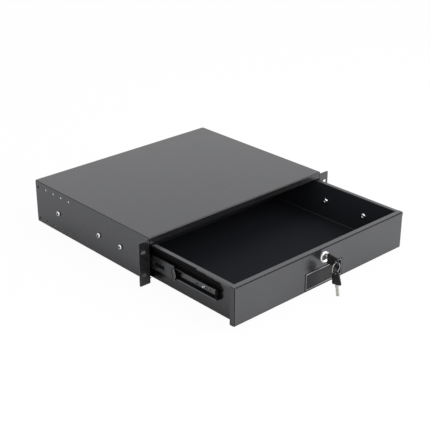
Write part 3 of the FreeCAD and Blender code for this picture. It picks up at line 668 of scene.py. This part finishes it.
# lock: bright bezel with a funnel, threaded body with two flats, and plug
lockShape = {"height": 13.0, "panelFront": -209.0, "bezelHeight": 2.6, "bore": 6.27, "bodyRadius": 9.2,
             "threadRoot": 8.75, "threadPitch": 1.0, "bodyLength": 20.0, "bodyFlat": 8.0,
             "plainBody": 2.0, "plainNeck": 0.6, "tipChamfer": 0.4, "threadStart": 0.5, "steps": 56,
             # (radius, height over the panel) up the bezel's side
             "bezelSide": ((10.75, 0.0), (10.75, 0.5), (10.5, 1.15)),
             # (radius, depth under the bezel's top) over the lip and down the funnel
             "bezelFace": ((9.9, 0.35), (9.3, 0.05), (8.9, 0.0), (8.5, 0.12), (8.1, 0.45), (6.77, 1.0),
                           (6.27, 1.2))}
plugShape = {"radius": 6.2, "recess": 0.6, "chamfer": 0.35, "keyHalfWidth": 1.2, "keyHalfDepth": 4.2,
             "slotDepth": 17.2, "tail": 5.98, "tailLength": 2.3, "screwHole": 2.05, "screwDepth": 1.6,
             "keyCorner": 0.2, "steps": 48, "holeSteps": 16}


def makeBarrel(spec):
    top, pitch = spec["bezelHeight"], spec["threadPitch"]
    profile = [(spec["bore"], -spec["bodyLength"]), (spec["threadRoot"] - spec["tipChamfer"], -spec["bodyLength"])]
    for index in range(int((spec["bodyLength"] - spec["plainBody"]) / pitch)):
        low = -spec["bodyLength"] + spec["threadStart"] + index * pitch
        profile += [(spec["threadRoot"], low), (spec["bodyRadius"], low + pitch / 2)]
    profile += [(spec["bodyRadius"], -spec["plainNeck"]), (spec["bodyRadius"], 0), *spec["bezelSide"]]
    profile += [(radius, top - depth) for radius, depth in spec["bezelFace"]]
    mesh = spinProfile(profile, spec["steps"])
    for vert in mesh.verts:
        if vert.co.z < -hair:
            vert.co.x = max(-spec["bodyFlat"], min(spec["bodyFlat"], vert.co.x))
    ends = [edge for edge in mesh.edges if edge.is_boundary]
    bmesh.ops.bridge_loops(mesh, edges=ends)
    closeMesh(mesh)
    moveMesh(mesh, turnTo((0, -1, 0), (0, spec["panelFront"], spec["height"])))
    return makePiece("lockBarrel", mesh, "drawer", "lock_barrel", "chrome", smoothAngle=40)


def makePlug(spec):
    front = lockShape["bezelHeight"] - spec["recess"]
    length = lockShape["bodyLength"] + front
    mesh = spinProfile([(spec["radius"], -length), (spec["radius"], -spec["chamfer"]),
                        (spec["radius"] - spec["chamfer"], 0)], spec["steps"])
    rims = [edge for edge in mesh.edges if edge.is_boundary]
    frontRim = [edge for edge in rims if edge.verts[0].co.z > -hair]
    backRim = [edge for edge in rims if edge.verts[0].co.z < -hair]
    # the keyway in the face is narrow along X and stands upright
    halfWidth, halfDepth, corner = spec["keyHalfWidth"], spec["keyHalfDepth"], spec["keyCorner"]
    slot = loopOf(mesh, roundedOutline([(-halfWidth, -halfDepth, corner), (halfWidth, -halfDepth, corner),
                                        (halfWidth, halfDepth, corner), (-halfWidth, halfDepth, corner)], steps=2))
    bmesh.ops.bridge_loops(mesh, edges=frontRim + slot)
    floor = bmesh.ops.contextual_create(mesh, geom=slot)["faces"]
    raisePlate(mesh, floor, -spec["slotDepth"])
    bmesh.ops.delete(mesh, geom=floor, context="FACES_ONLY")
    # square tail behind, with the hole for the cam's screw
    half = spec["tail"] / 2
    square = loopOf(mesh, [(-half, -half), (half, -half), (half, half), (-half, half)], -length)
    bmesh.ops.bridge_loops(mesh, edges=backRim + square)
    tail = bmesh.ops.extrude_edge_only(mesh, edges=square)["geom"]
    tailVerts = [item for item in tail if isinstance(item, bmesh.types.BMVert)]
    tailEdges = [item for item in tail if isinstance(item, bmesh.types.BMEdge)
                 and all(vert in tailVerts for vert in item.verts)]
    bmesh.ops.translate(mesh, verts=tailVerts, vec=(0, 0, -spec["tailLength"]))
    hole = loopOf(mesh, circlePoints(spec["screwHole"], spec["holeSteps"]), -length - spec["tailLength"])
    bmesh.ops.bridge_loops(mesh, edges=tailEdges + hole)
    bottom = bmesh.ops.contextual_create(mesh, geom=hole)["faces"]
    raisePlate(mesh, bottom, spec["tailLength"] + spec["screwDepth"])
    bmesh.ops.delete(mesh, geom=bottom, context="FACES_ONLY")
    closeMesh(mesh)
    moveMesh(mesh, turnTo((0, -1, 0), (0, lockShape["panelFront"] - front, lockShape["height"])))
    return makePiece("lockPlug", mesh, "lock", "lock_plug", "nickel_steel", finish="plug_brass")


makeBarrel(lockShape)
makePlug(plugShape)
print("lock made")


# keys: a moulded bow with a sunk face, and a milled blade with a groove on both sides
keyShape = {"bladeLength": 17.0, "shankLength": 4.5, "bowLength": 24.5, "bowWidth": 20.0, "bowEndWidth": 15.0,
            "bowThickness": 3.0, "bowCorner": 2.0, "bowEndCorner": 5.0, "holeRadius": 2.62, "holeSetback": 4.6,
            "rimWidth": 1.1, "sunk": 0.3, "edgeRound": 0.4, "bladeDepth": 7.0, "bladeThickness": 2.0,
            "tipChamfer": 2.2, "firstCut": 3.6, "cutPitch": 3.2, "cutWidth": 2.4, "cutDepths": (1.3, 2.2, 1.6, 2.0),
            "grooveTop": 0.9, "grooveLow": -0.9, "grooveDepth": 0.45, "cutFloor": 0.15, "sunkSlope": 0.25,
            "holeSteps": 24, "faceNormal": 0.99}
keyPlaces = {"lockHeight": 13.0, "bladeTip": -194.6, "holeY": -236.0, "ringTop": 11.35, "ringBottom": -8.25,
             "spareHole": -9.9, "spareTilt": 10.0}


def bowShape(spec):
    shoulder = spec["bladeLength"] + spec["shankLength"]
    end = shoulder + spec["bowLength"]
    half, endHalf = spec["bowWidth"] / 2, spec["bowEndWidth"] / 2
    mesh = bmesh.new()
    rim = loopOf(mesh, roundedOutline([(shoulder, -half, spec["bowCorner"]), (end, -endHalf, spec["bowEndCorner"]),
                                       (end, endHalf, spec["bowEndCorner"]), (shoulder, half, spec["bowCorner"])]))
    hole = loopOf(mesh, circlePoints(spec["holeRadius"], spec["holeSteps"], (end - spec["holeSetback"], 0)))
    face = bmesh.ops.bridge_loops(mesh, edges=rim + hole)["faces"]
    bmesh.ops.translate(mesh, verts=mesh.verts, vec=(0, 0, -spec["bowThickness"] / 2))
    raisePlate(mesh, face, spec["bowThickness"])
    closeMesh(mesh)
    softenEdges(mesh, spec["edgeRound"], least=60)
    for side in (-1, 1):
        flat = [item for item in mesh.faces if item.normal.z * side > spec["faceNormal"]]
        bmesh.ops.inset_region(mesh, faces=flat, thickness=spec["rimWidth"], depth=0, use_even_offset=True)
        bmesh.ops.inset_region(mesh, faces=flat, thickness=spec["sunkSlope"], depth=-spec["sunk"],
                               use_even_offset=True)
    return mesh


def bladeShape(spec):
    shoulder = spec["bladeLength"] + spec["shankLength"]
    edge = spec["bladeDepth"] / 2
    chamfer = spec["tipChamfer"]
    outline = [(0, edge - chamfer), (chamfer, edge)]
    for index, depth in enumerate(spec["cutDepths"]):
        start = spec["firstCut"] + index * spec["cutPitch"]
        flat = spec["cutWidth"] * spec["cutFloor"]
        middle = start + spec["cutWidth"] / 2
        outline += [(start, edge), (middle - flat, edge - depth), (middle + flat, edge - depth),
                    (start + spec["cutWidth"], edge)]
    outline += [(shoulder, edge), (shoulder, -edge), (chamfer, -edge), (0, chamfer - edge)]
    mesh = bmesh.new()
    rim = loopOf(mesh, outline, spec["bladeThickness"] / 2)
    bmesh.ops.contextual_create(mesh, geom=rim)
    for height in (spec["grooveTop"], spec["grooveLow"]):
        bmesh.ops.bisect_plane(mesh, geom=allOf(mesh), plane_co=(0, height, 0), plane_no=(0, 1, 0), dist=cutReach)
    groove = [face for face in mesh.faces
              if spec["grooveLow"] < face.calc_center_median().y < spec["grooveTop"]]
    inner = [edge for edge in mesh.edges if not edge.is_boundary
             and any(face in groove for face in edge.link_faces)]
    bmesh.ops.split_edges(mesh, edges=inner)
    for face in groove:
        bmesh.ops.translate(mesh, verts=face.verts, vec=(0, 0, -spec["grooveDepth"]))
    for height in (spec["grooveTop"], spec["grooveLow"]):
        lips = [edge for edge in mesh.edges if edge.is_boundary
                and all(abs(vert.co.y - height) < hair for vert in edge.verts)]
        bmesh.ops.bridge_loops(mesh, edges=lips)
    bmesh.ops.mirror(mesh, geom=allOf(mesh), axis="Z", merge_dist=0)
    rims = [edge for edge in mesh.edges if edge.is_boundary]
    bmesh.ops.bridge_loops(mesh, edges=rims)
    return closeMesh(mesh)


def keyMatrix(columns, origin):
    turn = Matrix([Vector(axis) for axis in columns]).transposed().to_4x4()
    return Matrix.Translation(origin) @ turn


def makeKeys(spec, places):
    hole = spec["bladeLength"] + spec["shankLength"] + spec["bowLength"] - spec["holeSetback"]
    inLock = keyMatrix([(0, -1, 0), (0, 0, 1), (-1, 0, 0)], (0, places["bladeTip"], places["lockHeight"]))
    pivot = Vector((0, places["holeY"], places["ringBottom"]))
    tilt = Matrix.Translation(pivot) @ Matrix.Rotation(-math.radians(places["spareTilt"]), 4, "X")
    tilt = tilt @ Matrix.Translation(-pivot)
    hanging = tilt @ keyMatrix([(0, 0, 1), (0, 1, 0), (-1, 0, 0)], (0, places["holeY"], places["spareHole"] - hole))
    for name, body, node, matrix in (("key", "key", "key", inLock), ("spareKey", "spare_key", "spare_key", hanging)):
        bow, blade = bowShape(spec), bladeShape(spec)
        for mesh in (bow, blade):
            moveMesh(mesh, matrix)
        makePiece(name + "Bow", bow, body, node + "_bow", "black_plastic")
        makePiece(name + "Blade", blade, body, node + "_blade", "nickel_steel", smoothAngle=20)


makeKeys(keyShape, keyPlaces)
print("keys made")


# split ring: one flat wire wound twice round
ringShape = {"radius": 9.8, "halfWidth": 0.5, "halfThickness": 0.26, "corner": 0.12, "rise": 0.52, "steps": 144,
             "turns": 2, "startTurn": 0.9}


def makeRing(spec, places):
    middle = Vector((0, places["holeY"], places["ringTop"] - spec["radius"]))
    wide, thin, corner = spec["halfWidth"], spec["halfThickness"], spec["corner"]
    mesh = bmesh.new()
    wire = loopOf(mesh, roundedOutline([(-wide, -thin, corner), (wide, -thin, corner), (wide, thin, corner),
                                        (-wide, thin, corner)], steps=2))
    end = bmesh.ops.contextual_create(mesh, geom=wire)["faces"]
    # the wire's own X runs outwards from the middle and its Y along the ring's axis
    bmesh.ops.translate(mesh, verts=mesh.verts, vec=(spec["radius"], -spec["rise"], 0))
    bmesh.ops.spin(mesh, geom=end, cent=(0, 0, 0), axis=(0, 1, 0), dvec=(0, 2 * spec["rise"] / spec["steps"], 0),
                   angle=spec["turns"] * math.tau, steps=spec["steps"], use_merge=False, use_duplicate=False)
    bmesh.ops.recalc_face_normals(mesh, faces=mesh.faces)
    bmesh.ops.rotate(mesh, verts=mesh.verts, cent=(0, 0, 0), matrix=Matrix.Rotation(spec["startTurn"], 3, "Y"))
    bmesh.ops.translate(mesh, verts=mesh.verts, vec=middle)
    return makePiece("keyRing", mesh, "ring", "key_ring", "chrome", smoothAngle=50, finish="ring_steel")


makeRing(ringShape, keyPlaces)
print("ring made")


# pull cup: a frame coated lighter as a painted highlight, round a pocket whose floor slopes from the lower edge to
# the back
cupShape = {"halfWidth": 46.3, "low": -37.4, "high": -5.6, "corner": 2.4, "cornerSteps": 4, "panelFront": -209.0,
            "proud": 0.95, "edge": 0.35, "frame": 1.9, "frameFoot": 0.3, "fit": 0.02, "wall": 3.1,
            "mouthRound": 0.4, "pocketCorners": (1.4, 0.9, 0.7, 0.5), "draft": 0.5, "boxHalfWidth": 44.8,
            "boxInset": 0.1, "boxCorner": 1.2, "boxBack": -196.0, "boxChamfer": 0.7, "boxBackCorner": 0.6,
            "depth": 11.2, "slope": 17.5, "slopeCurve": 1.2, "rings": 12, "behindPanel": 0.05, "shadowGap": 1.65,
            "shadowGapHeight": 0.3, "shadowGapCorner": 0.6, "shadowGapEdge": 0.25,
            "shadowGapSide": 0.6}


def cupLoop(mesh, spec, inset, y, corner, rise=0.0):
    half, low, high = spec["halfWidth"] - inset, spec["low"] + inset + rise, spec["high"] - inset
    points = roundedOutline([(-half, low, corner), (half, low, corner), (half, high, corner),
                             (-half, high, corner)], spec["cornerSteps"])
    verts = [mesh.verts.new((x, y, z)) for x, z in points]
    return [mesh.edges.new((verts[index - 1], verts[index])) for index in range(len(verts))]


def loftLoops(mesh, loops):
    for first, second in zip(loops, loops[1:]):
        bmesh.ops.bridge_loops(mesh, edges=first + second)


def makeFrame(spec):
    front = spec["panelFront"]
    face = front - spec["proud"]
    edge, frame, foot = spec["edge"], spec["frame"], front - spec["frameFoot"]
    mesh = bmesh.new()
    rim = [cupLoop(mesh, spec, inset, y, spec["corner"] - inset / 2)
           for inset, y in ((0, front), (0, face + edge), (edge, face), (frame - edge, face), (frame, face + edge),
                            (frame, foot), (frame + spec["fit"] / 2, front))]
    loftLoops(mesh, rim + rim[:1])
    closeMesh(mesh)
    makePiece("litCupFrame", mesh, "drawer", "pull_cup", "black_plastic", smoothAngle=50, finish="cup_frame_highlight")


def makePocket(spec):
    # the mouth, then rings down to the back, then the box that stands behind the panel
    foot, behind = spec["panelFront"] - spec["frameFoot"], spec["panelFront"] + spec["behindPanel"]
    inset, wall, lip = spec["frame"] + spec["fit"], spec["wall"], spec["mouthRound"]
    mouthCorner, lipCorner, wallCorner, deepCorner = spec["pocketCorners"]
    mesh = bmesh.new()
    loops = [cupLoop(mesh, spec, inset, behind, mouthCorner), cupLoop(mesh, spec, inset, foot, mouthCorner),
             cupLoop(mesh, spec, wall - lip, foot, lipCorner),
             cupLoop(mesh, spec, wall, foot + lip, wallCorner)]
    for index in range(1, spec["rings"] + 1):
        share = index / spec["rings"]
        loops.append(cupLoop(mesh, spec, wall + spec["draft"] * share, foot + lip + spec["depth"] * share,
                             deepCorner, spec["slope"] * share ** spec["slopeCurve"]))
    loftLoops(mesh, loops)
    bmesh.ops.contextual_create(mesh, geom=loops[-1])
    boxInset = spec["halfWidth"] - spec["boxHalfWidth"] + spec["boxInset"]
    back = [loops[0], cupLoop(mesh, spec, boxInset, behind, spec["boxCorner"]),
            cupLoop(mesh, spec, boxInset, spec["boxBack"] - spec["boxChamfer"], spec["boxCorner"]),
            cupLoop(mesh, spec, boxInset + spec["boxChamfer"], spec["boxBack"], spec["boxBackCorner"])]
    loftLoops(mesh, back)
    bmesh.ops.contextual_create(mesh, geom=back[-1])
    closeMesh(mesh)
    makePiece("cupPocket", mesh, "drawer", "pull_cup", "black_plastic", smoothAngle=25, finish="cup_plastic")


def makeShadowGapStrip(spec):
    # painted shadow: a thin matte black strip round the frame stands for the shadow in the gap between frame and
    # panel, and shows as a dark line round the frame
    front, wide, height = spec["panelFront"], spec["shadowGap"], spec["shadowGapHeight"]
    mesh = bmesh.new()
    rings = [cupLoop(mesh, spec, inset, y, spec["corner"] + spec["shadowGapCorner"])
             for inset, y in ((-wide, front), (-wide, front - height * spec["shadowGapSide"]),
                              (-wide + spec["shadowGapEdge"], front - height), (-spec["fit"], front - height),
                              (-spec["fit"], front))]
    loftLoops(mesh, rings + rings[:1])
    closeMesh(mesh)
    makePiece("cupShadowGapStrip", mesh, "drawer", "pull_cup", "black_plastic", finish="matte_black")


makeFrame(cupShape)
makePocket(cupShape)
makeShadowGapStrip(cupShape)
print("cup made")


# plastic and rubber end pieces of the slides
clipShape = {"outer": 215.0, "webFace": 214.34, "inner": 213.15, "webEnd": -59.52, "middle": -1.8,
             "ribWidth": 1.3, "ribDepth": 0.28, "ribSlope": 0.15, "highlightRib": -59.2,
             "front": ((12.8, -59.7), (10.5, -60.4), (8.6, -60.2), (6.6, -61.6), (4.8, -61.3), (2.6, -63.2),
                       (0.6, -63.2), (-1.6, -64.45), (-4.4, -64.45), (-6.0, -63.2), (-7.6, -63.4), (-9.2, -61.8),
                       (-11.0, -61.8), (-12.8, -60.4)),
             "rear": ((12.8, -59.0), (10.6, -57.4), (8.4, -55.0), (6.0, -53.6), (2.0, -53.3), (-2.0, -53.8),
                      (-6.0, -54.9), (-9.6, -56.6), (-12.8, -58.6))}
bumperShape = {"outer": 212.3, "inner": 205.2, "front": -166.2, "cap": -164.0, "back": -160.0, "middle": -1.8,
               "capHalf": 8.6, "plugHalf": 7.75, "mouth": 2.0, "mouthDepth": 1.6, "edge": 0.5}


def sidePlace(sign, depth, middle):
    # the outline's X runs to the rear, its Y upwards and its thickness away from the drawer
    turn = Matrix(((0, 0, sign), (1, 0, 0), (0, 1, 0))).to_4x4()
    return Matrix.Translation((sign * depth, 0, middle)) @ turn


def makeClip(side, spec):
    # a moulded end piece: a plate over the rail's scalloped end and a tongue in front of its edge
    sign = sides[side]
    front = [(y, z) for z, y in spec["front"]]
    outline = front + [(y, z) for z, y in spec["rear"][::-1]]
    tongue = front + [(spec["webEnd"], front[-1][1]), (spec["webEnd"], front[0][1])]
    mesh = bmesh.new()
    for points, low, high in ((outline, spec["webFace"], spec["outer"]), (tongue, spec["inner"], spec["webFace"])):
        plate = bmesh.new()
        face = bmesh.ops.contextual_create(plate, geom=loopOf(plate, points))["faces"]
        raisePlate(plate, face, high - low)
        closeMesh(plate)
        if high == spec["outer"]:
            top = [item for item in plate.faces if abs(item.calc_center_median().z - (high - low)) < hair]
            rib = bmesh.ops.inset_region(plate, faces=top, thickness=spec["ribWidth"], depth=0,
                                         use_even_offset=True)["faces"]
            bmesh.ops.inset_region(plate, faces=top, thickness=spec["ribSlope"], depth=-spec["ribDepth"],
                                   use_even_offset=True)
            # painted highlight: the wavy front rib is coated lighter than the rear one, and the field is like the
            # rail
            for item in rib:
                item.material_index = 1 if item.calc_center_median().x < spec["highlightRib"] else 0
            for item in top:
                item.material_index = 2
        moveMesh(plate, sidePlace(sign, low, spec["middle"]))
        addSolid(mesh, plate, Matrix.Identity(4))
        plate.free()
    bmesh.ops.recalc_face_normals(mesh, faces=mesh.faces)
    piece = makePiece(side + "RailClip", mesh, side + "_middle", side + "_middle_rail_bumper", "black_rubber",
                      finish="cup_plastic")
    for finish in ("cup_frame_highlight", "slide_steel"):
        piece.data.materials.append(finishes[finish])
    return piece


def makeBumper(side, spec):
    # two prongs in front of the rail's flanges, on a plug that fits between them
    sign = sides[side]
    width = spec["outer"] - spec["inner"]
    mesh = bmesh.new()
    depth = spec["mouthDepth"]
    profile = [(spec["front"], spec["mouth"]), (spec["front"], spec["capHalf"]), (spec["cap"], spec["capHalf"]),
               (spec["cap"], spec["plugHalf"]), (spec["back"], spec["plugHalf"])]
    lower = [(y, -z) for y, z in profile[::-1]]
    mouth = [(spec["front"] + depth, -spec["mouth"]), (spec["front"] + depth, spec["mouth"])]
    rim = loopOf(mesh, profile + lower + mouth)
    face = bmesh.ops.contextual_create(mesh, geom=rim)["faces"]
    raisePlate(mesh, face, width)
    closeMesh(mesh)
    softenEdges(mesh, spec["edge"], least=60, segments=3)
    moveMesh(mesh, sidePlace(sign, spec["inner"], spec["middle"]))
    bmesh.ops.recalc_face_normals(mesh, faces=mesh.faces)
    return makePiece(side + "SlideBumper", mesh, "drawer", side + "_inner_rail_bumper", "black_rubber",
                     finish="matte_black")


for side in sides:
    makeClip(side, clipShape)
    makeBumper(side, bumperShape)
print("slide end pieces made")


# lock nut, cam and the screw that holds the cam
nutShape = {"acrossFlats": 23.9, "height": 2.9, "bore": 9.32, "chamferDrop": 0.55, "chamferReach": 0.9,
            "boreChamfer": 0.3, "back": -204.55, "steps": 72, "flats": 6}
camShape = {"root": 6.95, "tip": 27.9, "half": 6.95, "tipHalf": 5.55, "rootCorner": 6.0, "tipCorner": 3.0,
            "sheet": 1.95, "hole": 3.02, "edge": 0.22, "front": -188.68,
            "cornerSteps": 8, "screwGap": 0.03, "screwShank": 3.7}
camScrew = dict(panScrew, shankRadius=1.9, rootRadius=1.65)


def makeNut(spec):
    # a chamfered disc cut to six flats
    corner = spec["acrossFlats"] / math.sqrt(3)
    rim = corner - spec["chamferReach"]
    drop, height, bore, slope = spec["chamferDrop"], spec["height"], spec["bore"], spec["boreChamfer"]
    mesh = spinProfile([(bore, height - slope), (bore + slope, height), (rim, height), (corner, height - drop),
                        (corner, drop), (rim, 0), (bore + slope, 0), (bore, slope), (bore, height - slope)],
                       spec["steps"])
    for index in range(spec["flats"]):
        turn = math.tau * (index + 0.5) / spec["flats"]
        normal = (math.cos(turn), math.sin(turn), 0)
        cut = bmesh.ops.bisect_plane(mesh, geom=allOf(mesh),
                                     plane_co=[part * spec["acrossFlats"] / 2 for part in normal],
                                     plane_no=normal, dist=cutReach, clear_outer=True)
        edges = [item for item in cut["geom_cut"] if isinstance(item, bmesh.types.BMEdge)]
        bmesh.ops.contextual_create(mesh, geom=edges)
    closeMesh(mesh)
    moveMesh(mesh, turnTo((0, 1, 0), (0, spec["back"] - height, lockShape["height"])))
    return makePiece("lockNut", mesh, "drawer", "lock_nut", "zinc_steel", smoothAngle=20)


def makeCam(spec):
    mesh = bmesh.new()
    rim = loopOf(mesh, roundedOutline([(-spec["root"], -spec["half"], spec["rootCorner"]),
                                       (spec["tip"], -spec["tipHalf"], spec["tipCorner"]),
                                       (spec["tip"], spec["tipHalf"], spec["tipCorner"]),
                                       (-spec["root"], spec["half"], spec["rootCorner"])], spec["cornerSteps"]))
    half = spec["hole"]
    hole = loopOf(mesh, [(-half, -half), (half, -half), (half, half), (-half, half)])
    face = bmesh.ops.bridge_loops(mesh, edges=rim + hole)["faces"]
    raisePlate(mesh, face, spec["sheet"])
    closeMesh(mesh)
    softenEdges(mesh, spec["edge"], least=60)
    # the outline's Y stands upright and the sheet's thickness runs to the rear
    turn = Matrix(((1, 0, 0), (0, 0, 1), (0, 1, 0))).to_4x4()
    moveMesh(mesh, Matrix.Translation((0, spec["front"], lockShape["height"])) @ turn)
    bmesh.ops.recalc_face_normals(mesh, faces=mesh.faces)
    makePiece("lockCam", mesh, "lock", "lock_cam", "zinc_steel")
    seat = spec["front"] + spec["sheet"] + spec["screwGap"]
    makeScrews("camScrew", "lock", "cam_screw", "zinc_steel", camScrew, spec["screwShank"],
               [((0, seat, lockShape["height"]), (0, 1, 0))])


makeNut(nutShape)
makeCam(camShape)
print("nut and cam made")
